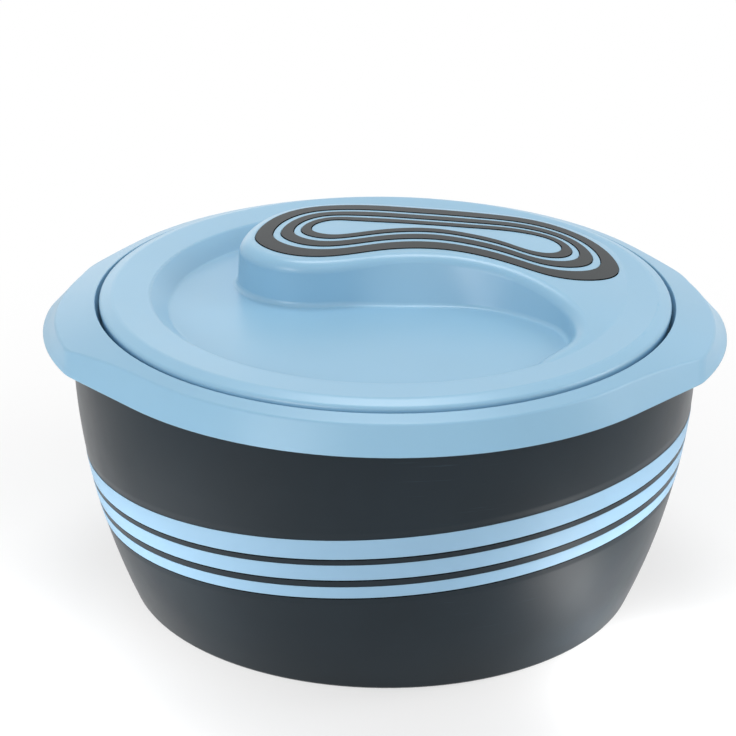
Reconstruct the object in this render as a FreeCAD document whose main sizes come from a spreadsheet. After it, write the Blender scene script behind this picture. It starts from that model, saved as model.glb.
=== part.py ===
import FreeCAD, Part
import math
import os
import re

import Sketcher

# Insulated serving casserole: a foam-filled bowl with a steel liner and a twist-locking lid.
# Millimetres, +Z up, X along the two finger ears, origin at the middle of the foot on the ground.

doc = FreeCAD.newDocument("casserole")
vec = FreeCAD.Vector
AXIS = vec(0, 0, 1)
MIDDLE = vec(0, 0, 0)

# ---------------------------------------------------------------- driving dimensions
SIZES = {
    # outer shell of the bowl
    "shell_base_radius": 105.0,
    "shell_top_radius": 127.35,
    "shell_top": 111.8,
    "shell_curve_radius": 279.0,
    "shell_wall": 2.2,
    "shell_flare": 0.38,
    "foot_width": 8.0,
    "foot_thickness": 3.0,
    "foot_rounding": 1.6,
    # coloured stripes let into the shell
    "stripe_depth": 0.9,
    "stripe_proud": 0.15,
    "stripe_tilt": 5.2,
    "stripe_high_side": -19.0,
    "lower_stripe_foot": 45.1,
    "lower_stripe_height": 5.2,
    "lower_stripe_gap": 3.3,
    "middle_stripe_height": 6.8,
    "upper_stripe_gap": 2.8,
    "upper_stripe_height": 8.4,
    # rim collar
    "skirt_lap": 0.8,
    "skirt_height": 12.5,
    "skirt_wall": 2.4,
    "skirt_taper": 29.3,
    "skirt_clearance": 0.55,
    "collar_width": 12.3,
    "collar_crown_slope": 0.286,
    "collar_rounding": 1.4,
    "collar_wall": 2.4,
    "mouth_draft": 2.5,
    "mouth_rounding": 0.4,
    "mouth_thickness": 3.6,
    "ledge_rounding": 0.5,
    "ledge_depth": 8.5,
    "ledge_width": 2.5,
    "throat_depth": 9.6,
    "throat_wall": 2.2,
    "seat_width": 4.2,
    "ear_stand_out": 8.9,
    "ear_centre": 21.2,
    "ear_front_angle": 43.0,
    "ear_front_rounding": 20.0,
    "ear_back_angle": 31.5,
    "ear_back_rounding": 65.0,
    "ear_lean": 0.73,
    "ear_hollow": 5.4,
    # bayonet ribs of the collar and lugs of the lid
    "rib_depth": 1.8,
    "rib_height": 1.8,
    "rib_drop": 2.6,
    "rib_span": 9.0,
    "rib_angle": 32.0,
    "rib_pitch": 33.0,
    "lock_turn": 16.5,
    "lug_height": 2.6,
    "lug_gap": 0.5,
    # steel liner, its gasket and the foam round it
    "liner_sheet": 0.8,
    "liner_setback": 2.1,
    "liner_neck_depth": 10.0,
    "liner_neck_step": 0.7,
    "liner_neck_ramp": 1.0,
    "liner_neck_shift": 0.3,
    "liner_curve_radius": 262.0,
    "heel_inset": 6.4,
    "heel_height": 10.5,
    "heel_curve": 10.6,
    "gasket_thickness": 0.8,
    "floor_foam": 5.8,
    "foam_gap": 0.2,
    # base
    "base_plate_thickness": 2.4,
    "base_recess": 1.0,
    "base_clearance": 0.2,
    "fill_hole_radius": 8.0,
    "plug_flange": 3.0,
    "plug_flange_thickness": 0.8,
    "plug_clearance": 0.1,
    # lid cover
    "lid_side_gap": 1.5,
    "lid_edge_rise": 1.0,
    "lid_wall": 2.4,
    "lid_lip_draft": 1.3,
    "shoulder_inset": 5.5,
    "shoulder_rise": 2.0,
    "shoulder_width": 15.4,
    "shoulder_fall": 0.8,
    "recess_slope_width": 7.5,
    "recess_depth": 6.7,
    "lid_rounding": 2.0,
    # handle that swells out of the lid
    "handle_rise": 11.7,
    "handle_fall_start": 20.0,
    "handle_fall": 13.67,
    "handle_crown_line": 20.0,
    "handle_crown_radius": 500.0,
    "handle_rounding": 5.0,
    "handle_foot_rounding": 2.0,
    # soft grip rings let into the handle's top
    "grip_depth": 1.2,
    "grip_proud": 0.3,
    "grip_gap": 0.3,
    # lid inner plate, seal and filling
    "plug_inset": 2.3,
    "plug_wall": 2.0,
    "plug_rounding": 1.2,
    "plug_drop": 10.2,
    "plate_flange_thickness": 1.2,
    "plate_flange_gap": 0.5,
    "seal_thickness": 2.0,
    "seal_side_gap": 0.4,
    "seal_lip_drop": 1.4,
    "seal_lip_width": 1.4,
    "lid_hole_radius": 6.0,
}
sheet = doc.addObject("Spreadsheet::Sheet", "Sizes")
for row, (alias, value) in enumerate(SIZES.items(), start=1):
    sheet.set("A%d" % row, alias)
    sheet.set("B%d" % row, str(value))
    sheet.setAlias("B%d" % row, alias)
doc.recompute()

WORD = re.compile(r"[a-z][a-z_]+")


def bound(text):
    """The same sum with every size that it names read from the sheet."""
    return WORD.sub(lambda found: "Sizes." + found.group(0) if found.group(0) in SIZES else found.group(0), text)


def size(text):
    """The present value of a sum of sizes."""
    return float(sheet.evalExpression(text))


# ---------------------------------------------------------------- derived heights and radii
SKIRT_FOOT = "shell_top - skirt_lap"
SKIRT_RADIUS = "shell_top_radius + skirt_clearance + skirt_wall"
MOUTH = SKIRT_FOOT + " + skirt_height"
MOUTH_RADIUS = SKIRT_RADIUS + " - collar_width"
LEDGE = MOUTH + " - ledge_depth"
LEDGE_RADIUS = MOUTH_RADIUS + " - mouth_draft"
THROAT_RADIUS = LEDGE_RADIUS + " - ledge_width"
THROAT_BACK = THROAT_RADIUS + " + throat_wall"
THROAT_FOOT = LEDGE + " - throat_depth"
PLATE_FLOOR = "base_recess + base_plate_thickness"
PLATE_TOP = "foot_thickness + base_plate_thickness"
LINER_TOP = THROAT_FOOT + " - gasket_thickness"
LINER_NECK = LINER_TOP + " - liner_neck_depth"
LINER_MOUTH = THROAT_RADIUS + " - liner_setback"
LINER_FLOOR = PLATE_FLOOR + " + floor_foam + liner_sheet"
HEEL_RADIUS = "shell_base_radius - heel_inset"
HEEL = LINER_FLOOR + " + heel_height"
FLOOR_RADIUS = HEEL_RADIUS + " - heel_curve"
FOAM_FOOT = "shell_base_radius - foot_width - base_clearance - base_plate_thickness - foam_gap"
BASE_RIM = "shell_base_radius - shell_wall + foot_thickness * shell_flare - base_clearance"
SEAL_TOP = LEDGE + " + seal_thickness"
PLUG_RADIUS = THROAT_RADIUS + " - plug_inset"
PLUG_FOOT = SEAL_TOP + " - plug_drop"
EDGE_RADIUS = MOUTH_RADIUS + " - lid_side_gap"
EDGE = MOUTH + " + lid_edge_rise"
SHOULDER_RADIUS = EDGE_RADIUS + " - shoulder_inset"
SHOULDER = EDGE + " + shoulder_rise"
BRIM_RADIUS = SHOULDER_RADIUS + " - shoulder_width"
BRIM = SHOULDER + " - shoulder_fall"
RECESS_RADIUS = BRIM_RADIUS + " - recess_slope_width"
RECESS_FLOOR = BRIM + " - recess_depth"
HANDLE_PEAK = SHOULDER + " + handle_rise"

skirt_foot = size(SKIRT_FOOT)
skirt_radius = size(SKIRT_RADIUS)
skirt_wall = size("skirt_wall")
skirt_slope = math.tan(math.radians(size("skirt_taper")))
mouth = size(MOUTH)
mouth_radius = size(MOUTH_RADIUS)
ledge = size(LEDGE)
throat_radius = size(THROAT_RADIUS)
throat_back = size(THROAT_BACK)
throat_foot = size(THROAT_FOOT)
lid_wall = size("lid_wall")
far = skirt_radius * 2
OVERLAP = 1.0  # how far one solid reaches into another that it is fused with
CUT_OVERRUN = 1.0  # how far a cutting solid reaches past the face that it opens
SAME_PLACE = 0.01  # two places nearer than this count as one
RIDGE_MARGIN = 1.0  # how far the collar's ridge may lie from the lines that it is found by
SEAM_RUN = 1.0  # a seam of the handle's ruled side runs less than this in plan


# ---------------------------------------------------------------- sketched bodies
def new_sketch(body, name):
    """A sketch on the body's own XZ plane."""
    plane = [feature for feature in body.Origin.OriginFeatures if feature.Role == "XZ_Plane"][0]
    sketch = body.newObject("Sketcher::SketchObject", name)
    sketch.AttachmentSupport = [(plane, "")]
    sketch.MapMode = "FlatFace"
    return sketch


def pin_point(sketch, edge, end, across, up):
    """Hold one end of an edge at its two sums of sizes."""
    for kind, axis, text in (("DistanceX", -2, across), ("DistanceY", -1, up)):
        if text == "0":
            sketch.addConstraint(Sketcher.Constraint("PointOnObject", edge, end, axis))
        else:
            mark = sketch.addConstraint(Sketcher.Constraint(kind, -1, 1, edge, end, size(text)))
            sketch.setExpression("Constraints[%d]" % mark, bound(text))


def nearest_end(sketch, edge, point):
    """1 if an edge of the sketch starts at a point, 2 if it ends there."""
    return 1 if (sketch.getPoint(edge, 1) - point).Length < (sketch.getPoint(edge, 2) - point).Length else 2


def draw_outline(sketch, corners, bows):
    """A closed outline; bows gives a stretch its arc radius, with a minus sign where it bows to the left."""
    points = [vec(size(across), size(up), 0) for across, up in corners]
    count = len(points)
    for k, start in enumerate(points):
        end = points[(k + 1) % count]
        if k in bows:
            radius = size(bows[k].lstrip("-"))
            chord = end - start
            side = vec(chord.y, -chord.x, 0).normalize() * (-1 if bows[k].startswith("-") else 1)
            sag = radius - math.sqrt(radius ** 2 - chord.Length ** 2 / 4)
            sketch.addGeometry(Part.Arc(start, (start + end) / 2 + side * sag, end))
        else:
            sketch.addGeometry(Part.LineSegment(start, end))
    begins = [nearest_end(sketch, k, points[k]) for k in range(count)]
    for k in range(count):
        following = (k + 1) % count
        sketch.addConstraint(Sketcher.Constraint("Coincident", k, 3 - begins[k], following, begins[following]))
    for k in range(count):
        pin_point(sketch, k, begins[k], *corners[k])
        if k in bows:
            radius = bows[k].lstrip("-")
            mark = sketch.addConstraint(Sketcher.Constraint("Radius", k, size(radius)))
            sketch.setExpression("Constraints[%d]" % mark, bound(radius))


def turned_body(label, corners, bows=None):
    """A body revolved about Z from an outline whose corners are sums of sizes."""
    body = doc.addObject("PartDesign::Body", label)
    body.Label = label
    sketch = new_sketch(body, label + "_outline")
    draw_outline(sketch, corners, bows or {})
    feature = body.newObject("PartDesign::Revolution", label + "_turn")
    feature.Profile = sketch
    feature.ReferenceAxis = (sketch, ["V_Axis"])
    feature.Angle = 360
    doc.recompute()
    return body


def is_ring(edge, radius, height):
    """True for a circle about Z with this radius at this height."""
    curve = edge.Curve
    if not isinstance(curve, Part.Circle):
        return False
    offset = math.hypot(curve.Center.x, curve.Center.y, curve.Center.z - height)
    return offset < 0.01 and abs(curve.Radius - radius) < 0.01


def round_rings(body, label, rounding, rings):
    """Fillet the body's circular edges of the given (radius, height)."""
    base = body.Tip
    chosen = []
    for k, edge in enumerate(base.Shape.Edges, start=1):
        if any(is_ring(edge, size(radius), size(height)) for radius, height in rings):
            chosen.append("Edge%d" % k)
    fillet = body.newObject("PartDesign::Fillet", label)
    fillet.Base = (base, chosen)
    fillet.setExpression("Radius", bound(rounding))
    doc.recompute()


# ---------------------------------------------------------------- outer shell and its stripes
shell = turned_body("shell_wall_body", [
    ("shell_base_radius - foot_width", "0"),
    ("shell_base_radius", "0"),
    ("shell_top_radius", "shell_top"),
    ("shell_top_radius - shell_wall", "shell_top"),
    ("shell_base_radius - shell_wall + foot_thickness * shell_flare", "foot_thickness"),
    ("shell_base_radius - foot_width", "foot_thickness"),
], {1: "shell_curve_radius", 3: "-shell_curve_radius"})
round_rings(shell, "foot_round", "foot_rounding", [("shell_base_radius", "0")])

sleeve = turned_body("stripe_sleeve", [
    ("shell_base_radius - stripe_depth", "0"),
    ("shell_base_radius + stripe_proud", "0"),
    ("shell_top_radius + stripe_proud", "shell_top"),
    ("shell_top_radius - stripe_depth", "shell_top"),
], {1: "shell_curve_radius", 3: "-shell_curve_radius"})


def make_stripe(label, foot, height):
    """A slab tilted up towards the stripes' high side, kept where it crosses the sleeve."""
    slab = doc.addObject("Part::Cylinder", label + "_slab")
    slab.setExpression("Radius", bound("shell_top_radius * 2"))
    slab.setExpression("Height", bound(height))
    slab.setExpression("Placement.Base.z", bound(foot))
    slab.setExpression("Placement.Rotation.Axis.x", bound("sin(stripe_high_side * 1deg)"))
    slab.setExpression("Placement.Rotation.Axis.y", bound("-cos(stripe_high_side * 1deg)"))
    slab.setExpression("Placement.Rotation.Axis.z", "0")
    slab.setExpression("Placement.Rotation.Angle", bound("stripe_tilt"))
    stripe = doc.addObject("Part::Common", label)
    stripe.Label = label
    stripe.Base = sleeve
    stripe.Tool = slab
    return stripe


MIDDLE_STRIPE_FOOT = "lower_stripe_foot + lower_stripe_height + lower_stripe_gap"
UPPER_STRIPE_FOOT = MIDDLE_STRIPE_FOOT + " + middle_stripe_height + upper_stripe_gap"
lower_stripe = make_stripe("lower_stripe", "lower_stripe_foot", "lower_stripe_height")
middle_stripe = make_stripe("middle_stripe", MIDDLE_STRIPE_FOOT, "middle_stripe_height")
upper_stripe = make_stripe("upper_stripe", UPPER_STRIPE_FOOT, "upper_stripe_height")
inlays = doc.addObject("Part::Compound", "stripe_inlays")
inlays.Links = [upper_stripe, middle_stripe, lower_stripe]
outer_shell = doc.addObject("Part::Cut", "outer_shell")
outer_shell.Label = "outer_shell"
outer_shell.Base = shell
outer_shell.Tool = inlays
doc.recompute()

# ---------------------------------------------------------------- liner, gasket, foam and base
steel_liner = turned_body("steel_liner", [
    ("0", LINER_FLOOR),
    (FLOOR_RADIUS, LINER_FLOOR),
    (HEEL_RADIUS, HEEL),
    (LINER_MOUTH + " - liner_neck_step", LINER_NECK),
    (LINER_MOUTH, LINER_NECK + " + liner_neck_ramp"),
    (LINER_MOUTH, LINER_TOP),
    (THROAT_BACK, LINER_TOP),
    (THROAT_BACK, LINER_TOP + " - liner_sheet"),
    (LINER_MOUTH + " + liner_sheet", LINER_TOP + " - liner_sheet"),
    (LINER_MOUTH + " + liner_sheet", LINER_NECK + " + liner_neck_ramp - liner_neck_shift"),
    (LINER_MOUTH + " + liner_sheet - liner_neck_step", LINER_NECK + " - liner_neck_shift"),
    (HEEL_RADIUS + " + liner_sheet", HEEL),
    (FLOOR_RADIUS, LINER_FLOOR + " - liner_sheet"),
    ("0", LINER_FLOOR + " - liner_sheet"),
], {1: "heel_curve", 2: "liner_curve_radius", 10: "-liner_curve_radius", 11: "-heel_curve + liner_sheet"})

liner_gasket = turned_body("liner_gasket", [
    (THROAT_RADIUS, LINER_TOP),
    (THROAT_BACK, LINER_TOP),
    (THROAT_BACK, THROAT_FOOT),
    (THROAT_RADIUS, THROAT_FOOT),
])

bowl_insulation = turned_body("bowl_insulation", [
    ("0", PLATE_FLOOR),
    (FOAM_FOOT, PLATE_FLOOR),
    (FOAM_FOOT, PLATE_TOP),
    ("shell_base_radius - shell_wall - foam_gap + (" + PLATE_TOP + ") * shell_flare", PLATE_TOP),
    ("shell_top_radius - shell_wall - foam_gap", "shell_top - foam_gap"),
    (THROAT_BACK + " + foam_gap", "shell_top - foam_gap"),
    (THROAT_BACK + " + foam_gap", LINER_TOP + " - liner_sheet - foam_gap"),
    (LINER_MOUTH + " + liner_sheet + foam_gap", LINER_TOP + " - liner_sheet - foam_gap"),
    (LINER_MOUTH + " + liner_sheet + foam_gap", LINER_NECK),
    (HEEL_RADIUS + " + liner_sheet + foam_gap", HEEL),
    (FLOOR_RADIUS, LINER_FLOOR + " - liner_sheet - foam_gap"),
    ("0", LINER_FLOOR + " - liner_sheet - foam_gap"),
], {3: "shell_curve_radius", 8: "-liner_curve_radius", 9: "-heel_curve + liner_sheet + foam_gap"})

base_plate = turned_body("base_plate", [
    ("fill_hole_radius", "base_recess"),
    ("shell_base_radius - foot_width - base_clearance", "base_recess"),
    ("shell_base_radius - foot_width - base_clearance", "foot_thickness"),
    (BASE_RIM, "foot_thickness"),
    (BASE_RIM, PLATE_TOP),
    ("shell_base_radius - foot_width - base_clearance - base_plate_thickness", PLATE_TOP),
    ("shell_base_radius - foot_width - base_clearance - base_plate_thickness", PLATE_FLOOR),
    ("fill_hole_radius", PLATE_FLOOR),
])

base_foam_plug = turned_body("base_foam_plug", [
    ("0", "base_recess - plug_flange_thickness"),
    ("fill_hole_radius + plug_flange", "base_recess - plug_flange_thickness"),
    ("fill_hole_radius + plug_flange", "base_recess"),
    ("fill_hole_radius - plug_clearance", "base_recess"),
    ("fill_hole_radius - plug_clearance", PLATE_FLOOR),
    ("0", PLATE_FLOOR),
])

# ---------------------------------------------------------------- lid seal and the lid's filling plug
lid_seal = turned_body("lid_seal", [
    (PLUG_RADIUS + " + seal_side_gap", LEDGE + " - seal_lip_drop"),
    (PLUG_RADIUS + " + seal_side_gap + seal_lip_width", LEDGE + " - seal_lip_drop"),
    (PLUG_RADIUS + " + seal_side_gap + seal_lip_width", LEDGE),
    (LEDGE_RADIUS + " - plate_flange_gap", LEDGE),
    (LEDGE_RADIUS + " - plate_flange_gap", SEAL_TOP),
    (PLUG_RADIUS + " + seal_side_gap", SEAL_TOP),
])

lid_foam_plug = turned_body("lid_foam_plug", [
    ("0", PLUG_FOOT + " - plug_flange_thickness"),
    ("lid_hole_radius + plug_flange", PLUG_FOOT + " - plug_flange_thickness"),
    ("lid_hole_radius + plug_flange", PLUG_FOOT),
    ("lid_hole_radius - plug_clearance", PLUG_FOOT),
    ("lid_hole_radius - plug_clearance", PLUG_FOOT + " + plug_wall"),
    ("0", PLUG_FOOT + " + plug_wall"),
])


# ---------------------------------------------------------------- free-form pieces
def rounded_outline(corners):
    """A closed wire in the XZ plane through (across, up) or (across, up, rounding) corners."""
    corners = [corner if len(corner) == 3 else (corner[0], corner[1], 0) for corner in corners]
    count = len(corners)
    stops = []
    for k, (across, up, rounding) in enumerate(corners):
        here = vec(across, 0, up)
        back = (vec(corners[k - 1][0], 0, corners[k - 1][1]) - here).normalize()
        onward = (vec(corners[(k + 1) % count][0], 0, corners[(k + 1) % count][1]) - here).normalize()
        if rounding:
            half = back.getAngle(onward) / 2
            hub = here + (back + onward).normalize() * (rounding / math.sin(half))
            reach = rounding / math.tan(half)
            stops.append((here + back * reach, hub + (here - hub).normalize() * rounding, here + onward * reach))
        else:
            stops.append((here, None, here))
    edges = []
    for k, (entry, bend, leave) in enumerate(stops):
        if bend:
            edges.append(Part.Arc(entry, bend, leave).toShape())
        edges.append(Part.LineSegment(leave, stops[(k + 1) % count][0]).toShape())
    return Part.Wire(edges)


def turned(corners, start=0.0, span=360.0):
    """The solid swept by an outline about Z, from a start angle through a span."""
    face = Part.Face(rounded_outline(corners))
    face.rotate(MIDDLE, AXIS, start)
    return face.revolve(MIDDLE, AXIS, span)


def add_piece(label, shape):
    """A finished free-form solid under its own name."""
    piece = doc.addObject("Part::Feature", label)
    piece.Label = label
    piece.Shape = shape.removeSplitter()
    return piece


def bayonet_ring(inner, outer, foot, top, first):
    """Eight short sectors in four pairs, the first at the given angle."""
    sectors = []
    for quarter in range(4):
        for partner in (0, size("rib_pitch")):
            start = first + quarter * 90 + partner - size("rib_span") / 2
            corners = [(inner, foot), (outer, foot), (outer, top), (inner, top)]
            sectors.append(turned(corners, start, size("rib_span")))
    return sectors


# ---------------------------------------------------------------- rim collar with its two ears
def ear_plan(inset, rise):
    """The ear's centre, its arc's radius and the skirt's radius, drawn in by an inset and the skirt's taper."""
    drawn = inset + rise * skirt_slope
    centre = vec(size("ear_centre"), -rise * size("ear_lean"), 0)
    return centre, skirt_radius + size("ear_stand_out - ear_centre") - drawn, skirt_radius - drawn


def ear_shoulder(inset, rise, side, angle, rounding):
    """Points where one side of an ear leaves the skirt's circle, ends its straight, bends and joins the arc."""
    centre, bow, radius = ear_plan(inset, rise)
    start = math.radians(angle)
    leave = vec(radius * math.cos(start), side * radius * math.sin(start), 0)
    along = vec(math.sin(start), -side * math.cos(start), 0)
    inward = vec(-math.cos(start), -side * math.sin(start), 0)
    # the rounding's hub lies its own radius inside both the straight and the ear's arc
    gap = leave + inward * rounding - centre
    half = gap.dot(along)
    run = -half + math.sqrt(half ** 2 - gap.dot(gap) + (bow - rounding) ** 2)
    hub = leave + inward * rounding + along * run
    on_line = hub - inward * rounding
    on_ear = centre + (hub - centre).normalize() * bow
    bend = hub + (on_line + on_ear - hub * 2).normalize() * rounding
    return leave, on_line, bend, on_ear


def ear_wire(inset, rise):
    """Plan of the skirt at a rise above its foot: a circle that swells out to two broad ears."""
    centre, bow, radius = ear_plan(inset, rise)
    front = ear_shoulder(inset, rise, -1, size("ear_front_angle"), size("ear_front_rounding") - inset)
    back = ear_shoulder(inset, rise, 1, size("ear_back_angle"), size("ear_back_rounding") - inset)

    def put(point, x_sign):
        return vec(point.x * x_sign, point.y, skirt_foot + rise)

    curves = []
    for x_sign in (1, -1):
        for leave, on_line, bend, on_ear in (front, back):
            curves.append(Part.LineSegment(put(leave, x_sign), put(on_line, x_sign)))
            curves.append(Part.Arc(put(on_line, x_sign), put(bend, x_sign), put(on_ear, x_sign)))
        tip = centre + (front[3] + back[3] - centre * 2).normalize() * bow
        curves.append(Part.Arc(put(front[3], x_sign), put(tip, x_sign), put(back[3], x_sign)))
    for shoulder, side in ((front, -1), (back, 1)):
        middle = vec(0, side * radius, 0)
        curves.append(Part.Arc(put(shoulder[0], 1), put(middle, 1), put(shoulder[0], -1)))
    return Part.Wire(Part.sortEdges([curve.toShape() for curve in curves])[0])


def ear_block(inset, foot, top):
    """The skirt's plan raised between two heights above its foot."""
    return Part.makeLoft([ear_wire(inset, foot), ear_wire(inset, top)], True, True)


def crown(radius):
    """Height of the collar's sloping top at a radius."""
    return mouth - (radius - mouth_radius) * size("collar_crown_slope")


def is_ridge(edge):
    """True for the edges where the collar's top meets its skirt."""
    lowest = crown(skirt_radius + size("ear_stand_out"))
    ring = min(math.hypot(vertex.X, vertex.Y) for vertex in edge.Vertexes)
    above_skirt = edge.BoundBox.ZMin > lowest - RIDGE_MARGIN
    return above_skirt and edge.BoundBox.ZMax < mouth - SAME_PLACE and ring > mouth_radius + RIDGE_MARGIN


collar_wall = size("collar_wall")
ledge_radius = size(LEDGE_RADIUS)
seat_radius = size("shell_top_radius - seat_width")
skirt_inside = skirt_radius - skirt_wall
mouth_space = turned([
    (0, throat_foot - far), (throat_radius, throat_foot - far), (throat_radius, ledge),
    (ledge_radius, ledge, size("ledge_rounding")), (mouth_radius, mouth, size("mouth_rounding")),
    (far, crown(far)), (far, far), (0, far),
])
under_space = turned([
    (throat_back, -far), (throat_back, ledge - collar_wall), (ledge_radius + collar_wall, ledge - collar_wall),
    (ledge_radius + collar_wall, crown(mouth_radius) - size("mouth_thickness")),
    (seat_radius, crown(seat_radius) - collar_wall), (seat_radius, size("shell_top")),
    (skirt_inside, size("shell_top")), (skirt_inside, -far),
])
ear_space = ear_block(skirt_wall, -CUT_OVERRUN, size("ear_hollow"))
ear_space = ear_space.cut(Part.makeCylinder(skirt_inside, far))
collar = ear_block(0, 0, size("skirt_height") + collar_wall).cut(mouth_space)
collar = collar.makeFillet(size("collar_rounding"), [edge for edge in collar.Edges if is_ridge(edge)])
throat_tube = turned([
    (throat_radius, throat_foot), (throat_back, throat_foot), (throat_back, ledge - OVERLAP),
    (throat_radius, ledge - OVERLAP),
])
rib_top = ledge - size("rib_drop")
rib_foot = rib_top - size("rib_height")
rib_face = throat_radius - size("rib_depth")
ribs = bayonet_ring(rib_face, throat_radius + OVERLAP, rib_foot, rib_top, size("rib_angle"))
collar = collar.cut([under_space, ear_space]).fuse([throat_tube] + ribs)
rim_collar = add_piece("rim_collar", collar)

# ---------------------------------------------------------------- lid inner plate with its lugs
plug_radius = size(PLUG_RADIUS)
plug_inside = plug_radius - size("plug_wall")
plug_foot = size(PLUG_FOOT)
plug_floor = plug_foot + size("plug_wall")
flange_foot = size(SEAL_TOP)
flange_top = flange_foot + size("plate_flange_thickness")
flange_radius = size(EDGE_RADIUS + " - lid_lip_draft")
lug_top = rib_foot - size("lug_gap")
lug_foot = lug_top - size("lug_height")
lug_face = throat_radius - size("seal_side_gap")
plate = turned([
    (size("lid_hole_radius"), plug_foot), (plug_radius, plug_foot, size("plug_rounding")), (plug_radius, flange_foot),
    (flange_radius, flange_foot), (flange_radius, flange_top), (plug_inside, flange_top),
    (plug_inside, plug_floor), (size("lid_hole_radius"), plug_floor),
])
lugs = bayonet_ring(plug_radius - OVERLAP, lug_face, lug_foot, lug_top, size("rib_angle + lock_turn"))
lid_inner_plate = add_piece("lid_inner_plate", plate.fuse(lugs))

# ---------------------------------------------------------------- handle curves
TURN_SENSE = -1  # the outlines below run clockwise seen from above
DRAWN_FOR_RADIUS = 88.1  # the recess floor's radius to which the outlines below are drawn
# The grip's outer edge and the bean at its middle, point for point, from the left end.
GRIP_OUTER = [
    (-54.4, 26), (-48.5, 50), (-33.4, 69), (-12, 74.6), (14.4, 70), (41, 65.7), (66, 64.7), (84, 55.5), (95.7, 34.5),
    (95.5, 16), (84, 1.7), (69, -3), (52, 3), (33, 11.2), (14, 14.8), (-4, 11.5), (-18, 6), (-31, 4.2), (-46, 10),
]
GRIP_BEAN = [
    (-31, 36.5), (-28.5, 45), (-22, 49.6), (-14, 49.2), (8, 46.2), (34, 42.4), (60, 42.8), (69.5, 39.5), (73, 33),
    (71.5, 26.5), (66.5, 22), (61, 21.6), (50, 27.3), (34, 34.8), (16, 40), (-3, 36.8), (-15, 31.7), (-22, 30),
    (-29, 32.8),
]
# Where the handle's side meets its top and the recess floor; on the right both run out into the lid's rim.
HANDLE_TOP = [
    (-60.5, 23.5), (-53.7, 51.3), (-36.4, 74), (-11.5, 81.2), (16, 76.2), (42.8, 71.8), (67.6, 70.4), (87.8, 59.7),
    (101, 35), (104, 5), (99, -28), (91, -58), (79, -82), (66, -88.5), (58.5, -80), (63.5, -71), (73, -58.5),
    (77.5, -44), (75.2, -30), (66, -14.5), (52, -3), (33, 5), (13.5, 8.2), (-4.3, 4.9), (-18.8, -0.7),
    (-33.3, -2.5), (-50.4, 4.1),
]
HANDLE_FOOT = [
    (-61.5, 23.5), (-54.7, 52), (-37, 75), (-11.5, 82.2), (16.2, 77.2), (43, 72.8), (68.2, 71.4), (88.8, 60.7),
    (102, 35), (105, 5), (100, -28), (91, -58), (77, -80), (64, -86), (56, -78), (58.5, -68), (66.8, -56),
    (72.3, -43), (71, -30), (63.5, -18.8), (51, -8.7), (33.5, -2), (14, -1.5), (-4, -1.5), (-18, -1.8),
    (-33.5, -3.3), (-51, 3.5),
]
plan_scale = size(RECESS_RADIUS) / DRAWN_FOR_RADIUS


def drawn_in(points, by):
    """Plan points of an outline moved inwards, square to the line through their neighbours."""
    moved = []
    for k, (x, y) in enumerate(points):
        after = points[(k + 1) % len(points)]
        run_x = after[0] - points[k - 1][0]
        run_y = after[1] - points[k - 1][1]
        length = math.hypot(run_x, run_y)
        moved.append((x - run_y / length * by * TURN_SENSE, y + run_x / length * by * TURN_SENSE))
    return moved


def marks_along(points):
    """Curve parameters for an outline's points: the distance run along its chords."""
    marks = [0.0]
    for (x, y), (next_x, next_y) in zip(points, points[1:] + points[:1]):
        marks.append(marks[-1] + math.hypot(next_x - x, next_y - y))
    return marks


def closed_curve(points, height, marks):
    """A smooth closed curve of four joined edges through plan points at one height."""
    places = [vec(x * plan_scale, y * plan_scale, height) for x, y in points]
    curve = Part.BSplineCurve()
    curve.interpolate(Points=places, PeriodicFlag=True, Parameters=marks)
    stops = [marks[round(k * len(places) / 4)] for k in range(5)]
    return [curve.toShape(start, end) for start, end in zip(stops, stops[1:])]


def flat_face(points, height):
    """The flat face inside a closed curve."""
    return Part.Face(Part.Wire(closed_curve(points, height, marks_along(points))))


def grip_points(share):
    """Plan points a share of the way from the grip's outer edge to its bean."""
    return [(a + (c - a) * share, b + (d - b) * share) for (a, b), (c, d) in zip(GRIP_OUTER, GRIP_BEAN)]


handle_peak = size(HANDLE_PEAK)
fall_start = size("handle_fall_start")
fall_end = max(x for x, y in HANDLE_TOP) * plan_scale
fall = size("handle_fall")
fall_radius = ((fall_end - fall_start) ** 2 + fall ** 2) / (2 * fall)
crown_line = size("handle_crown_line")
crown_radius = size("handle_crown_radius")
recess_floor = size(RECESS_FLOOR)
PAST_HANDLE = 1.5  # how many times the handle's reach its top surface runs before it ends


def under_handle_top(drop):
    """All that lies under the handle's doubly curved top, lowered by a drop."""
    top = handle_peak - drop
    end = fall_end * PAST_HANDLE
    sag = fall_radius - math.sqrt(fall_radius ** 2 - (end - fall_start) ** 2)
    mid = (end + fall_start) / 2
    mid_sag = fall_radius - math.sqrt(fall_radius ** 2 - (mid - fall_start) ** 2)
    points = [vec(-far, crown_line, top), vec(fall_start, crown_line, top), vec(end, crown_line, top - sag)]
    bend = vec(mid, crown_line, top - mid_sag)
    ground = [vec(end, crown_line, -far), vec(-far, crown_line, -far)]
    edges = [
        Part.LineSegment(points[0], points[1]).toShape(),
        Part.Arc(points[1], bend, points[2]).toShape(),
        Part.LineSegment(points[2], ground[0]).toShape(),
        Part.LineSegment(ground[0], ground[1]).toShape(),
        Part.LineSegment(ground[1], points[0]).toShape(),
    ]
    face = Part.Face(Part.Wire(edges))
    hinge = vec(0, crown_line, handle_peak - crown_radius)
    swing = math.degrees(math.asin(far / 2 / crown_radius))
    face.rotate(hinge, vec(1, 0, 0), -swing)
    return face.revolve(hinge, vec(1, 0, 0), swing * 2)


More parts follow.
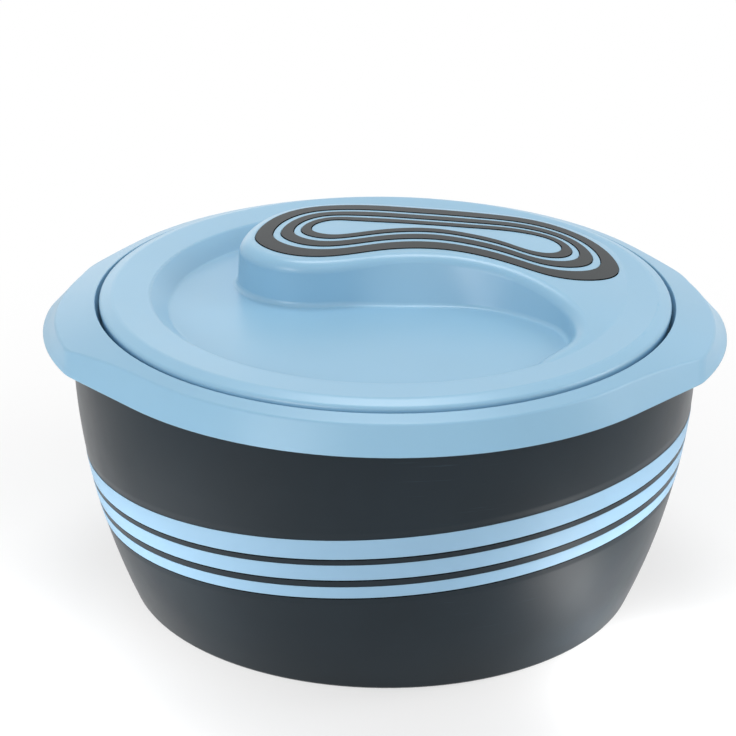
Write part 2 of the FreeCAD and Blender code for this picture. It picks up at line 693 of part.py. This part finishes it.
def handle_block(inset, drop):
    """The handle's swelling between straight-ruled sides, drawn in by an inset and lowered by a drop."""
    marks = marks_along(HANDLE_TOP)
    foot = closed_curve(drawn_in(HANDLE_FOOT, inset), recess_floor - drop - OVERLAP, marks)
    top = closed_curve(drawn_in(HANDLE_TOP, inset), handle_peak + OVERLAP, marks)
    sides = [Part.makeRuledSurface(low, high) for low, high in zip(foot, top)]
    shell = Part.Shell(sides + [Part.Face(Part.Wire(foot)), Part.Face(Part.Wire(top))])
    shell.sewShape()
    block = Part.Solid(shell)
    if block.Volume < 0:
        block.reverse()
    return block.common(under_handle_top(drop))


# ---------------------------------------------------------------- lid cover
edge_radius = size(EDGE_RADIUS)
edge_height = size(EDGE)
shoulder_radius = size(SHOULDER_RADIUS)
shoulder_height = size(SHOULDER)
brim_radius = size(BRIM_RADIUS)
brim_height = size(BRIM)
floor_radius = size(RECESS_RADIUS)
lid_rounding = size("lid_rounding")
under_floor = recess_floor - lid_wall
under_brim = brim_height - lid_wall
outside = [
    (0, recess_floor), (floor_radius, recess_floor, lid_rounding), (brim_radius, brim_height, lid_rounding),
    (shoulder_radius, shoulder_height, lid_rounding * 2), (edge_radius, edge_height, lid_rounding),
    (flange_radius, flange_top),
]
inside = [
    (flange_radius - lid_wall, flange_top), (edge_radius - lid_wall, edge_height - lid_wall / 2, lid_rounding / 2),
    (shoulder_radius - lid_wall / 3, shoulder_height - lid_wall, lid_rounding),
    (brim_radius + lid_wall / 2, under_brim), (floor_radius + lid_wall / 2, under_floor), (0, under_floor),
]
skin = turned(outside + inside)
under_skin = turned([(0, -far), (inside[0][0], -far)] + inside)


def is_brow(edge):
    """True for the edges between the handle's side and its top."""
    box = edge.BoundBox
    return box.ZMin > recess_floor and box.XLength > SEAM_RUN and box.YLength > SEAM_RUN


def is_handle_foot(edge):
    """True for the edges where the handle's side meets the flat recess floor."""
    box = edge.BoundBox
    level = box.ZLength < SAME_PLACE and abs(box.ZMin - recess_floor) < SAME_PLACE
    return level and not isinstance(edge.Curve, Part.Circle)


handle = handle_block(0, 0)
handle = handle.makeFillet(size("handle_rounding"), [edge for edge in handle.Edges if is_brow(edge)])
cover = skin.fuse(handle).removeSplitter()
cover = cover.makeFillet(size("handle_foot_rounding"), [edge for edge in cover.Edges if is_handle_foot(edge)])

# soft rings let into the handle's top, from the outer edge (0) to the bean (1)
GRIP_BANDS = {
    "outer_grip_ring": (0.0, 0.32),
    "middle_grip_ring": (0.444, 0.685),
    "inner_grip_ring": (0.80, 1.0),
}


ring_top = under_handle_top(-size("grip_proud"))
groove_floor = under_handle_top(size("grip_depth"))


def grip_band(outer_share, inner_share, slack):
    """A ring between two grip curves, from the groove floor to a little above the handle's top."""
    outer = flat_face(drawn_in(grip_points(outer_share), slack), recess_floor)
    inner = flat_face(drawn_in(grip_points(inner_share), -slack), recess_floor)
    prism = outer.cut(inner).Faces[0].extrude(vec(0, 0, handle_peak))
    return prism.common(ring_top).cut(groove_floor)


hollows = [under_skin, handle_block(lid_wall, lid_wall)]
rings = []
for label, (outer_share, inner_share) in GRIP_BANDS.items():
    hollows.append(grip_band(outer_share, inner_share, 0))
    rings.append(add_piece(label, grip_band(outer_share, inner_share, size("grip_gap"))))
lid_cover = add_piece("lid_cover", cover.cut(hollows))

# ---------------------------------------------------------------- lid insulation
foam_gap = size("foam_gap")
filling = turned([
    (0, plug_floor), (plug_inside - foam_gap, plug_floor), (plug_inside - foam_gap, flange_top + foam_gap),
    (inside[0][0] - foam_gap, flange_top + foam_gap),
    (inside[1][0] - foam_gap, inside[1][1] - foam_gap, inside[1][2]),
    (inside[2][0] - foam_gap, inside[2][1] - foam_gap, inside[2][2]),
    (inside[3][0] + foam_gap, under_brim - foam_gap), (inside[4][0] + foam_gap, under_floor - foam_gap),
    (0, under_floor - foam_gap),
])
handle_filling = handle_block(lid_wall + foam_gap, lid_wall + foam_gap)
lid_insulation = add_piece("lid_insulation", filling.fuse(handle_filling))
doc.recompute()

# ---------------------------------------------------------------- checks and export
PIECES = [
    outer_shell, upper_stripe, middle_stripe, lower_stripe, rim_collar, steel_liner, liner_gasket, bowl_insulation,
    base_plate, base_foam_plug, lid_seal, lid_cover, lid_inner_plate, lid_insulation, lid_foam_plug,
] + rings
for item in doc.Objects:
    if "Invalid" in item.State or "Error" in item.State:
        raise RuntimeError("%s did not rebuild" % item.Label)
os.makedirs("parts", exist_ok=True)
for piece in PIECES:
    if piece.Shape.isNull() or not piece.Shape.isValid() or len(piece.Shape.Solids) != 1:
        raise RuntimeError("%s is not one sound solid" % piece.Label)
    piece.Shape.exportStep("parts/" + piece.Label + ".step")
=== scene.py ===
"""Insulated serving casserole: finishes for its plastic, rubber, steel and foam, in a plain studio."""

import math

import bpy
from mathutils import Matrix, Vector

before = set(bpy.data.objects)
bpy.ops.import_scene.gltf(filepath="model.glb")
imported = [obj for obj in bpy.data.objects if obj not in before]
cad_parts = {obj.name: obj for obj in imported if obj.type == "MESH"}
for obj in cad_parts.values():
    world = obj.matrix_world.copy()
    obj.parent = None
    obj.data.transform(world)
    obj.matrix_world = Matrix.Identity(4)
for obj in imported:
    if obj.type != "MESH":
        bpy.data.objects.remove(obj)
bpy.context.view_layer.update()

bl_info = {
    "name": "Insulated casserole",
    "version": (1, 0, 0),
    "blender": (4, 5, 0),
    "location": "View3D > Sidebar > Casserole",
    "description": "Dresses a packed casserole with its finishes and sets it on a studio floor",
    "category": "Object",
}

MM = 0.001
WHITE = (1.0, 1.0, 1.0, 1.0)
# Lightless black laid on as painted shade: the shadows under the stripes and the sides of the grip rings.
PAINTED_SHADE_BLACK = (0.002, 0.002, 0.002, 1.0)

# The stripes, from the lowest up. They are tilted towards a high side, and STRIPE_UP is square to them.
STRIPES = ("lower_stripe", "middle_stripe", "upper_stripe")
STRIPE_TILT = math.radians(5.2)
STRIPE_HIGH_SIDE = math.radians(-19.0)
STRIPE_UP = Vector((
    -math.cos(STRIPE_HIGH_SIDE) * math.sin(STRIPE_TILT),
    -math.sin(STRIPE_HIGH_SIDE) * math.sin(STRIPE_TILT),
    math.cos(STRIPE_TILT),
))

# Painted shadow under each stripe: black at a stripe's foot up to the first distance from it, and gone at
# the second.
STRIPE_SHADOW_FADE = (0.45 * MM, 0.75 * MM)
# The stripes lie in a shallow channel of the shell, with a soft lip below and above them.
CHANNEL_LIP = 3.5 * MM
CHANNEL_DEPTH = 0.3 * MM
# Painted shade on the grip rings: black where a ring faces up by less than the first share, and its own
# grey above the second.
RING_SIDE_SHADE_FADE = (0.2, 0.7)
# The part of a cloud's 0 to 1 over which it shades a colour.
CLOUD_FADE = (0.3, 0.7)
# Hairline rubs on the shell: how many per metre along X, Y and Z, and where their noise shows them.
RUBS_PER_METRE = (26.0, 26.0, 1500.0)
RUB_FADE = (0.66, 0.74)
RUB_PATCH_FADE = (0.5, 0.62)
RUB_COVER = 0.6
RUB_LIGHTENING = 2.4
# Dust on the grip rings lifts red more than blue.
DUST_FADE = (0.35, 0.75)
DUST_WARMTH = (1.35, 1.28, 1.22)
# How deep red, green and blue light goes, in metres before the shader's own scale.
PLASTIC_LIGHT_DEPTH = (0.004, 0.006, 0.009)
SILICONE_LIGHT_DEPTH = (0.004, 0.004, 0.004)
EDGE_SAMPLES = 6

# A Mix node has five sockets for numbers and vectors between its share and its two colours.
MIX_UNUSED = (None,) * 5
MIX_COLOUR_OUTPUT = 2

# The satin finish of the collar and the lid's cover. Grain and rounding are in millimetres.
SATIN = {"roughness": 0.32, "grain": 0.02, "shine": 0.5, "translucency": 0.06, "rounding": 0.4}

# The softboxes face this point.
LAMP_AIM = (0.0, 0.0, 0.1)
# Each lamp's name, place, width and height. Its power is the studio setting of its name, as top_power.
SOFTBOXES = (
    ("top", (0.0, 0.35, 1.5), 0.6, 0.5),
    ("front", (0.15, -1.0, 1.1), 0.5, 0.4),
    ("left", (-0.55, -0.85, 0.45), 0.5, 0.3),
    ("right", (0.75, 0.0, 0.5), 0.3, 0.3),
    ("back", (-0.27, 0.74, 0.28), 0.4, 0.3),
)
FLOOR_LAMPS = (
    ("left_floor", (-0.21, -0.17, 0.07), 0.16, 0.20),
    ("right_floor", (0.23, -0.12, 0.07), 0.12, 0.16),
    ("foot", (0.125, -0.10, 0.02), 0.05, 0.05),
)

# The floor lies just under the foot, and turns from shaded to plain white between two distances.
FLOOR_DROP = 0.2 * MM
FLOOR_GREY = (0.90, 0.90, 0.90, 1.0)
FLOOR_FADE = (0.15, 0.40)

# The camera's sensor in millimetres, and the nearest distance that it sees in metres.
SENSOR_WIDTH = 36.0
NEAREST_SEEN = 0.05


# ---------------------------------------------------------------- shader sums
class Sum:
    """A shader socket that can stand in a sum; each operation adds its Math node."""

    def __init__(self, nodes, socket):
        self.nodes = nodes
        self.socket = socket

    def _math(self, operation, *values):
        return self.nodes.node("ShaderNodeMath", {"operation": operation}, *values)

    def __add__(self, other):
        return self._math("ADD", self, other)

    def __radd__(self, other):
        return self._math("ADD", other, self)

    def __sub__(self, other):
        return self._math("SUBTRACT", self, other)

    def __rsub__(self, other):
        return self._math("SUBTRACT", other, self)

    def __mul__(self, other):
        return self._math("MULTIPLY", self, other)

    def __rmul__(self, other):
        return self._math("MULTIPLY", other, self)

    def root(self):
        return self._math("SQRT", self)

    def unsigned(self):
        return self._math("ABSOLUTE", self)

    def clipped(self, low, high):
        """The socket's run from low to high as 0 to 1, eased at both ends."""
        settings = {"interpolation_type": "SMOOTHSTEP"}
        return self.nodes.node("ShaderNodeMapRange", settings, self, low, high, 0.0, 1.0)

    def swing(self, width):
        """The socket's 0 to 1 as a swing to both sides of zero, so wide from end to end."""
        return (self - 0.5) * width


class Nodes:
    """A node tree with one way to add any node."""

    def __init__(self, owner, output_kind):
        owner.use_nodes = True
        self.tree = owner.node_tree
        self.tree.nodes.clear()
        self.output = self.tree.nodes.new(output_kind)

    def feed(self, target, value):
        """Link a sum to one input, or set a plain value on it; None leaves it as it is."""
        if isinstance(value, Sum):
            self.tree.links.new(value.socket, target)
        elif value is not None:
            target.default_value = value

    def node(self, kind, settings, *inputs, output=0, **named):
        """A node of this kind: settings first, then its inputs in order or by name."""
        made = self.tree.nodes.new(kind)
        for key, value in settings.items():
            setattr(made, key, value)
        for target, value in zip(made.inputs, inputs):
            self.feed(target, value)
        for key, value in named.items():
            self.feed(made.inputs[key.replace("_", " ")], value)
        return Sum(self, made.outputs[output])

    def show(self, shader):
        """Send a shader to the tree's output."""
        self.feed(self.output.inputs["Surface"], shader)

    def seen_share(self):
        """1 for what the camera, a reflection or a clear thing looks at, 0 for the light itself."""
        camera, glossy, clear = [
            self.node("ShaderNodeLightPath", {}, output=ray)
            for ray in ("Is Camera Ray", "Is Glossy Ray", "Is Transmission Ray")
        ]
        return camera + glossy + clear


class Finish(Nodes):
    """A material's node tree, with its main shader and the sums that its looks are made of."""

    def __init__(self, name):
        self.material = bpy.data.materials.new(name)
        super().__init__(self.material, "ShaderNodeOutputMaterial")
        self.surface = self.node("ShaderNodeBsdfPrincipled", {})
        self.show(self.surface)
        self.place = self.node("ShaderNodeTexCoord", {}, output="Object")

    def set(self, **values):
        """Set or link the main shader's inputs by name."""
        shader = self.surface.socket.node
        for key, value in values.items():
            self.feed(shader.inputs[key.replace("_", " ")], value)

    def noise(self, spots, layers=2.0, roughness=0.5, place=None):
        """Soft noise from 0 to 1: so many spots per metre, with finer layers over them."""
        return self.node(
            "ShaderNodeTexNoise", {},
            Vector=place or self.place, Scale=spots, Detail=layers, Roughness=roughness,
        )

    def mixed(self, share, first, second):
        """Two colours blended by a share."""
        inputs = (share, *MIX_UNUSED, first, second)
        return self.node("ShaderNodeMix", {"data_type": "RGBA"}, *inputs, output=MIX_COLOUR_OUTPUT)

    def clouded(self, colour, cloud, darkest, lightest):
        """A colour that a cloud shades from one factor to another."""
        return self.mixed(cloud.clipped(*CLOUD_FADE), tinted(colour, darkest), tinted(colour, lightest))

    def split(self, place=None):
        """The X, Y and Z of a place."""
        parts = self.node("ShaderNodeSeparateXYZ", {}, place or self.place)
        return [Sum(self, socket) for socket in parts.socket.node.outputs]

    def relief(self, height, rounding=None):
        """A surface relief of this height in metres, on edges that look rounded by a radius."""
        soft = self.node("ShaderNodeBevel", {"samples": EDGE_SAMPLES}, rounding) if rounding else None
        return self.node("ShaderNodeBump", {}, Strength=1.0, Distance=1.0, Height=height, Normal=soft)

    def paint_shade(self, share):
        """Lay a lightless black over a share of the surface as painted shade."""
        black = self.node("ShaderNodeBsdfDiffuse", {}, PAINTED_SHADE_BLACK)
        self.show(self.node("ShaderNodeMixShader", {}, share, self.surface, black))

    def upright(self):
        """How far the surface faces up, from -1 to 1."""
        facing = self.node("ShaderNodeTexCoord", {}, output="Normal")
        return self.split(facing)[2]

    def along(self, direction):
        """How far a spot lies along a direction."""
        settings = {"operation": "DOT_PRODUCT"}
        return self.node("ShaderNodeVectorMath", settings, self.place, direction, output="Value")

    def stretched(self, factors):
        """The place with X, Y and Z multiplied by their factors."""
        return self.node("ShaderNodeVectorMath", {"operation": "MULTIPLY"}, self.place, factors)


def tinted(colour, by):
    """A colour made lighter or darker by a factor."""
    return (colour[0] * by, colour[1] * by, colour[2] * by, 1.0)


def distance_out(x, y):
    """How far a spot lies from the upright line through the middle."""
    return (x * x + y * y).root()


def moulded_plastic(name, colour, roughness, grain, shine, translucency=0.0, rounding=0.0):
    """Satin moulded plastic: faint cloudy colour, fine grain, and handling marks in the gloss.

    grain is the depth of the surface's grain and rounding the radius of its edges, in millimetres.
    """
    finish = Finish(name)
    cloud = finish.noise(spots=14.0, layers=3.0)
    marks = finish.noise(spots=55.0, layers=4.0, roughness=0.6)
    finish.set(
        Base_Color=finish.clouded(colour, cloud, darkest=0.975, lightest=1.02),
        Roughness=roughness + marks.swing(0.10),
        Normal=finish.relief(finish.noise(spots=1800.0) * (grain * MM), rounding * MM),
        Specular_IOR_Level=shine,
        Subsurface_Weight=translucency,
        Subsurface_Radius=PLASTIC_LIGHT_DEPTH,
        Subsurface_Scale=0.4,
    )
    return finish.material


def shell_plastic(name, colour, stripes):
    """Satin charcoal with hairline rubs, a painted black shadow under each stripe and a channel round
    them all.

    stripes holds the foot and the top of each stripe along their tilted upright, from the lowest up.
    """
    finish = Finish(name)
    height = finish.along(STRIPE_UP)
    # Painted shadow: a black line along each stripe's foot.
    stripe_shadows = 0.0
    for foot, _ in stripes:
        stripe_shadows = stripe_shadows + (1 - (height - foot).unsigned().clipped(*STRIPE_SHADOW_FADE))
    channel_foot = stripes[0][0]
    channel_top = stripes[-1][1]
    inside_foot = height.clipped(channel_foot - CHANNEL_LIP, channel_foot)
    past_top = height.clipped(channel_top, channel_top + CHANNEL_LIP)
    sunk = inside_foot - past_top
    cloud = finish.noise(spots=18.0, layers=3.0)
    smudge = finish.noise(spots=42.0, layers=4.0, roughness=0.6)
    hairlines = finish.noise(spots=1.0, layers=3.0, roughness=0.6, place=finish.stretched(RUBS_PER_METRE))
    patches = finish.noise(spots=9.0)
    rub = hairlines.clipped(*RUB_FADE) * patches.clipped(*RUB_PATCH_FADE)
    grain = finish.noise(spots=1500.0) * (0.012 * MM)
    plain = finish.clouded(colour, cloud, darkest=0.9, lightest=1.1)
    finish.set(
        Base_Color=finish.mixed(rub * RUB_COVER, plain, tinted(colour, RUB_LIGHTENING)),
        Roughness=0.33 + smudge.swing(0.16) + rub * 0.12,
        Normal=finish.relief(grain - sunk * CHANNEL_DEPTH, rounding=0.3 * MM),
        Specular_IOR_Level=0.2,
    )
    # Lay the painted stripe shadows on as black.
    finish.paint_shade(stripe_shadows)
    return finish.material


def soft_rubber(name, colour):
    """Soft matt rubber with a fine grain, rounded edges, a trace of warm dust and painted black shade on
    its sides.
    """
    finish = Finish(name)
    cloud = finish.noise(spots=40.0, layers=3.0)
    grain = finish.noise(spots=2600.0, layers=3.0, roughness=0.6) * (0.03 * MM)
    dusty = (*(part * warmth for part, warmth in zip(colour, DUST_WARMTH)), 1.0)
    finish.set(
        Base_Color=finish.mixed(cloud.clipped(*DUST_FADE), tinted(colour, 0.95), dusty),
        Roughness=0.56 + cloud.swing(0.12),
        Normal=finish.relief(grain, rounding=0.5 * MM),
        Specular_IOR_Level=0.45,
    )
    # Painted shade: the ring's sides are laid over with black.
    finish.paint_shade(1 - finish.upright().clipped(*RING_SIDE_SHADE_FADE))
    return finish.material


def spun_steel(name, colour):
    """Polished steel with the faint rings that spinning leaves."""
    finish = Finish(name)
    x, y, z = finish.split()
    across = finish.node("ShaderNodeCombineXYZ", {}, distance_out(x, y), z, 0.0)
    rings = finish.noise(spots=2600.0, layers=3.0, roughness=0.6, place=across)
    smear = finish.noise(spots=30.0, layers=3.0)
    finish.set(
        Base_Color=finish.clouded(colour, smear, darkest=0.96, lightest=1.02),
        Metallic=1.0,
        Roughness=0.15 + rings.swing(0.04) + smear.swing(0.05),
        Normal=finish.relief(rings * (0.0008 * MM)),
    )
    return finish.material


def clear_silicone(name, colour):
    """Milky silicone rubber."""
    finish = Finish(name)
    cloud = finish.noise(spots=60.0)
    finish.set(
        Base_Color=finish.mixed(cloud, tinted(colour, 0.96), tinted(colour, 1.02)),
        Roughness=0.42 + cloud.swing(0.1),
        Normal=finish.relief(finish.noise(spots=900.0) * (0.01 * MM)),
        Subsurface_Weight=0.3,
        Subsurface_Radius=SILICONE_LIGHT_DEPTH,
        Subsurface_Scale=0.5,
    )
    return finish.material


def rigid_foam(name, colour):
    """Poured rigid foam with small closed cells."""
    finish = Finish(name)
    cells = finish.node("ShaderNodeTexVoronoi", {}, Vector=finish.place, Scale=900.0)
    cloud = finish.noise(spots=35.0, layers=3.0)
    finish.set(
        Base_Color=finish.clouded(colour, cloud, darkest=0.9, lightest=1.04),
        Roughness=0.85 + cloud.swing(0.1),
        Normal=finish.relief(cells * (0.2 * MM)),
    )
    return finish.material


def stripe_span(name):
    """How far a stripe's foot and top lie along the stripes' tilted upright."""
    heights = [vertex.co.dot(STRIPE_UP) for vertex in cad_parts[name].data.vertices]
    return min(heights), max(heights)


def dress(material, *names):
    """Give CAD nodes their finish."""
    for name in names:
        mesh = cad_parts[name].data
        mesh.materials.clear()
        mesh.materials.append(material)


# ---------------------------------------------------------------- settings
def colour_setting(name, description, default):
    """A colour that the panel shows."""
    return bpy.props.FloatVectorProperty(
        name=name, description=description, default=default, subtype="COLOR", size=3, min=0.0, max=1.0
    )


def lamp_setting(name, where, default):
    """A lamp's power that the panel shows."""
    return bpy.props.FloatProperty(
        name=name, description="Power of the " + where, default=default, min=0.0, unit="POWER"
    )


class CasseroleFinishes(bpy.types.PropertyGroup):
    """Colours of the casserole's parts."""

    lid_blue: colour_setting("Lid blue", "Plastic of the lid's cover", (0.275, 0.495, 0.668))
    collar_blue: colour_setting("Collar blue", "Plastic of the rim collar", (0.262, 0.475, 0.645))
    stripe_blue: colour_setting("Stripe blue", "Plastic of the three stripes", (0.275, 0.455, 0.62))
    charcoal: colour_setting("Charcoal", "Plastic of the bowl's shell", (0.011, 0.019, 0.026))
    grip_grey: colour_setting("Grip grey", "Soft rings in the handle", (0.020, 0.025, 0.028))
    steel: colour_setting("Steel", "The bowl's liner", (0.66, 0.65, 0.63))
    silicone: colour_setting("Silicone", "Seal and gasket", (0.66, 0.68, 0.68))
    foam: colour_setting("Foam", "Filling of the walls and lid", (0.80, 0.70, 0.45))


class StudioSettings(bpy.types.PropertyGroup):
    """Camera, lamps and floor."""

    lens: bpy.props.FloatProperty(
        name="Lens", description="Focal length", default=130.53, min=10.0, unit="CAMERA"
    )
    distance: bpy.props.FloatProperty(
        name="Distance", description="Camera to the aim point", default=1.1, min=0.3, unit="LENGTH"
    )
    aim_height: bpy.props.FloatProperty(
        name="Aim height", description="Height the camera looks at", default=0.09101, unit="LENGTH"
    )
    pitch: bpy.props.FloatProperty(
        name="Pitch", description="How far the camera looks down", default=0.40432, unit="ROTATION"
    )
    roll: bpy.props.FloatProperty(
        name="Roll", description="Camera's tilt to one side", default=0.012138, unit="ROTATION"
    )
    shift: bpy.props.FloatProperty(
        name="Shift", description="Sideways shift of the frame, in frame widths", default=-0.02254
    )
    top_power: lamp_setting("Top lamp", "lamp above", 7.6)
    front_power: lamp_setting("Front lamp", "lamp above the camera", 0.6)
    left_power: lamp_setting("Left lamp", "lamp at the front left", 2.9)
    right_power: lamp_setting("Right lamp", "lamp on the right", 1.6)
    back_power: lamp_setting("Back lamp", "low lamp behind on the left", 0.25)
    left_floor_power: lamp_setting("Left floor lamp", "low lamp over the floor on the left", 0.38)
    right_floor_power: lamp_setting("Right floor lamp", "low lamp over the floor on the right", 0.11)
    foot_power: lamp_setting("Foot lamp", "small lamp over the floor beside the bowl's foot", 0.13)
    ambient: bpy.props.FloatProperty(
        name="Ambient", description="Strength of the light from all round", default=0.52, min=0.0
    )
    floor_radius: bpy.props.FloatProperty(
        name="Floor", description="Half width of the floor", default=3.0, min=0.5, unit="LENGTH"
    )
    floor_glow: bpy.props.FloatProperty(
        name="Floor glow", description="How much of the floor's white is its own",
        default=0.6, min=0.0, max=1.0,
    )


# ---------------------------------------------------------------- pieces
class CASSEROLE_OT_bowl(bpy.types.Operator):
    """Finish the bowl's charcoal shell and base, and the foam in the bowl and the lid"""

    bl_idname = "casserole.bowl"
    bl_label = "Bowl shell, base and foam"

    def execute(self, context):
        colours = context.scene.casserole_finishes
        charcoal = tuple(colours.charcoal)
        stripes = [stripe_span(name) for name in STRIPES]
        dress(shell_plastic("charcoal_shell", charcoal, stripes), "outer_shell")
        base = moulded_plastic(
            "charcoal_base", tinted(charcoal, 1.1), roughness=0.55, grain=0.05, shine=0.3
        )
        dress(base, "base_plate", "base_foam_plug")
        dress(rigid_foam("foam_filling", tuple(colours.foam)), "bowl_insulation", "lid_insulation")
        return {"FINISHED"}


class CASSEROLE_OT_stripes(bpy.types.Operator):
    """Finish the three stripes let into the shell"""

    bl_idname = "casserole.stripes"
    bl_label = "Stripes"

    def execute(self, context):
        blue = tuple(context.scene.casserole_finishes.stripe_blue)
        stripe = moulded_plastic(
            "stripe_plastic", blue, roughness=0.46, grain=0.012, shine=0.3, translucency=0.05
        )
        dress(stripe, *STRIPES)
        return {"FINISHED"}


class CASSEROLE_OT_collar(bpy.types.Operator):
    """Finish the rim collar"""

    bl_idname = "casserole.collar"
    bl_label = "Rim collar"

    def execute(self, context):
        blue = tuple(context.scene.casserole_finishes.collar_blue)
        dress(moulded_plastic("collar_plastic", blue, **SATIN), "rim_collar")
        return {"FINISHED"}


class CASSEROLE_OT_liner(bpy.types.Operator):
    """Finish the steel liner, its gasket and the lid's seal"""

    bl_idname = "casserole.liner"
    bl_label = "Steel liner and seals"

    def execute(self, context):
        colours = context.scene.casserole_finishes
        dress(spun_steel("liner_steel", tuple(colours.steel)), "steel_liner")
        dress(clear_silicone("gasket_silicone", tuple(colours.silicone)), "liner_gasket", "lid_seal")
        return {"FINISHED"}


class CASSEROLE_OT_lid(bpy.types.Operator):
    """Finish the lid's cover, its inner plate and its foam plug"""

    bl_idname = "casserole.lid"
    bl_label = "Lid"

    def execute(self, context):
        blue = tuple(context.scene.casserole_finishes.lid_blue)
        dress(moulded_plastic("lid_plastic", blue, **SATIN), "lid_cover")
        plate = moulded_plastic(
            "plate_plastic", blue, roughness=0.34, grain=0.01, shine=0.5, translucency=0.06
        )
        dress(plate, "lid_inner_plate", "lid_foam_plug")
        return {"FINISHED"}


class CASSEROLE_OT_grip(bpy.types.Operator):
    """Finish the soft rings in the handle's top"""

    bl_idname = "casserole.grip"
    bl_label = "Grip rings"

    def execute(self, context):
        grey = tuple(context.scene.casserole_finishes.grip_grey)
        dress(soft_rubber("grip_rubber", grey), "outer_grip_ring", "middle_grip_ring", "inner_grip_ring")
        return {"FINISHED"}


# ---------------------------------------------------------------- studio
def add_lamp(name, place, aim, width, height, power):
    """A soft rectangular lamp that faces its aim."""
    light = bpy.data.lights.new(name, "AREA")
    light.shape = "RECTANGLE"
    light.size = width
    light.size_y = height
    light.energy = power
    lamp = bpy.data.objects.new(name, light)
    lamp.location = place
    lamp.rotation_euler = (Vector(aim) - Vector(place)).to_track_quat("-Z", "Y").to_euler()
    lamp.visible_camera = False
    bpy.context.scene.collection.objects.link(lamp)


def add_lamps(studio):
    """The softboxes, which face the casserole, and the floor lamps, which look straight down."""
    for name, place, width, height in SOFTBOXES:
        add_lamp(name + "_softbox", place, LAMP_AIM, width, height, getattr(studio, name + "_power"))
    for name, place, width, height in FLOOR_LAMPS:
        below = (place[0], place[1], 0.0)
        add_lamp(name + "_lamp", place, below, width, height, getattr(studio, name + "_power"))


def plain_world(strength):
    """Even light, with plain white where the camera and the reflections look past the floor."""
    world = bpy.data.worlds.new("studio")
    bpy.context.scene.world = world
    even = Nodes(world, "ShaderNodeOutputWorld")
    light = even.node("ShaderNodeBackground", {}, WHITE, strength)
    white = even.node("ShaderNodeBackground", {}, WHITE, 1.0)
    even.show(even.node("ShaderNodeMixShader", {}, even.seen_share(), light, white))


def pale_floor(radius, glow):
    """A wide floor that looks white but for the object's shadow."""
    bpy.ops.object.select_all(action="DESELECT")
    bpy.ops.mesh.primitive_plane_add(size=radius * 2, location=(0.0, 0.0, -FLOOR_DROP))
    floor = bpy.context.object
    floor.name = "studio_floor"
    finish = Finish("studio_floor")
    finish.set(Base_Color=FLOOR_GREY, Roughness=0.6, Specular_IOR_Level=0.2)
    white = finish.node("ShaderNodeEmission", {}, WHITE, 1.0)
    x, y = finish.split()[:2]
    away = distance_out(x, y).clipped(*FLOOR_FADE)
    share = finish.seen_share() * (glow + away * (1 - glow))
    finish.show(finish.node("ShaderNodeMixShader", {}, share, finish.surface, white))
    floor.data.materials.append(finish.material)


def add_camera(studio):
    """The camera, at the front and above."""
    back = Vector((0.0, -math.cos(studio.pitch), math.sin(studio.pitch)))
    camera_data = bpy.data.cameras.new("camera")
    camera_data.lens = studio.lens
    camera_data.sensor_width = SENSOR_WIDTH
    camera_data.shift_x = studio.shift
    camera_data.clip_start = NEAREST_SEEN
    camera = bpy.data.objects.new("camera", camera_data)
    upright = Matrix.Rotation(math.pi / 2 - studio.pitch, 4, "X")
    tilt = Matrix.Rotation(studio.roll, 4, "Z")
    place = Vector((0.0, 0.0, studio.aim_height)) + back * studio.distance
    camera.matrix_world = Matrix.Translation(place) @ upright @ tilt
    bpy.context.scene.collection.objects.link(camera)
    bpy.context.scene.camera = camera


class CASSEROLE_OT_studio(bpy.types.Operator):
    """Set the floor, the lamps and the camera"""

    bl_idname = "casserole.studio"
    bl_label = "Studio"

    def execute(self, context):
        studio = context.scene.casserole_studio
        context.scene.view_settings.view_transform = "Standard"
        plain_world(studio.ambient)
        pale_floor(studio.floor_radius, studio.floor_glow)
        add_lamps(studio)
        add_camera(studio)
        return {"FINISHED"}


class CASSEROLE_PT_panel(bpy.types.Panel):
    """Colours, studio and the steps of the casserole"""

    bl_idname = "CASSEROLE_PT_panel"
    bl_label = "Casserole"
    bl_space_type = "VIEW_3D"
    bl_region_type = "UI"
    bl_category = "Casserole"

    def draw(self, context):
        for group in (context.scene.casserole_finishes, context.scene.casserole_studio):
            box = self.layout.box()
            for setting in group.bl_rna.properties:
                if not setting.is_readonly and setting.identifier != "name":
                    box.prop(group, setting.identifier)
        for step in STEPS:
            self.layout.operator(step.bl_idname)


STEPS = (
    CASSEROLE_OT_bowl,
    CASSEROLE_OT_stripes,
    CASSEROLE_OT_collar,
    CASSEROLE_OT_liner,
    CASSEROLE_OT_lid,
    CASSEROLE_OT_grip,
    CASSEROLE_OT_studio,
)
CLASSES = (CasseroleFinishes, StudioSettings, *STEPS, CASSEROLE_PT_panel)


def register():
    for item in CLASSES:
        bpy.utils.register_class(item)
    bpy.types.Scene.casserole_finishes = bpy.props.PointerProperty(type=CasseroleFinishes)
    bpy.types.Scene.casserole_studio = bpy.props.PointerProperty(type=StudioSettings)


def unregister():
    del bpy.types.Scene.casserole_studio
    del bpy.types.Scene.casserole_finishes
    for item in reversed(CLASSES):
        bpy.utils.unregister_class(item)


def main():
    """Dress the casserole and set the studio."""
    register()
    for step in STEPS:
        getattr(bpy.ops.casserole, step.bl_idname.split(".")[1])()


if __name__ == "__main__":
    main()
